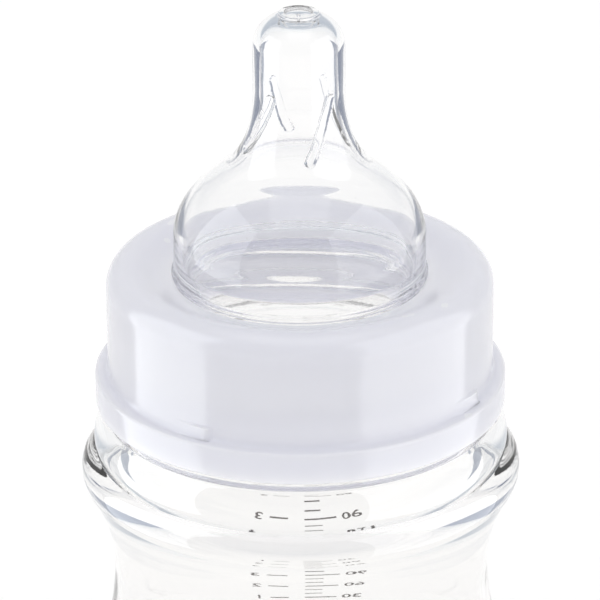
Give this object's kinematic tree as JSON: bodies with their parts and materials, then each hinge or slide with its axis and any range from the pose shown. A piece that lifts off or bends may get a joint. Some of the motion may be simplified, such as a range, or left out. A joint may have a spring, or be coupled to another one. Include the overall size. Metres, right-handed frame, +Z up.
{
  "type": "baby bottle",
  "caption": "Wide-neck baby feeding bottle: waisted clear body with printed volume scale, white screw collar and soft clear silicone teat.",
  "frame": {"origin": "middle of the foot, on the surface the bottle stands on", "axes": "+Z up along the bottle's axis, from the foot to the teat; +Y towards the side that carries the printed scale"},
  "size_m": [0.0741, 0.074, 0.1284],
  "materials": {
    "clear_bottle": "clear gloss",
    "scale_ink": "matt print",
    "collar_plastic": "gloss",
    "clear_silicone": "clear satin"
  },
  "bodies": {
    "bottle": {"bottle": "clear_bottle", "printed_scale": "scale_ink"},
    "teat": {"teat": "clear_silicone"},
    "collar": {"collar": "collar_plastic"}
  },
  "joints": [
    {"name": "teat_lift", "type": "slide", "parent": "bottle", "child": "teat", "axis": [0, 0, 1], "range_m": [0, 0.024]},
    {"name": "collar_turn", "type": "hinge", "parent": "teat", "child": "collar", "pos_m": [0, 0, 0.06], "axis": [0, 0, 1], "range_deg": [0, 1440]}
  ],
  "couplings": [
    {"joint": "teat_lift", "follows": "collar_turn", "m_per_rad": 0.00095493}
  ]
}
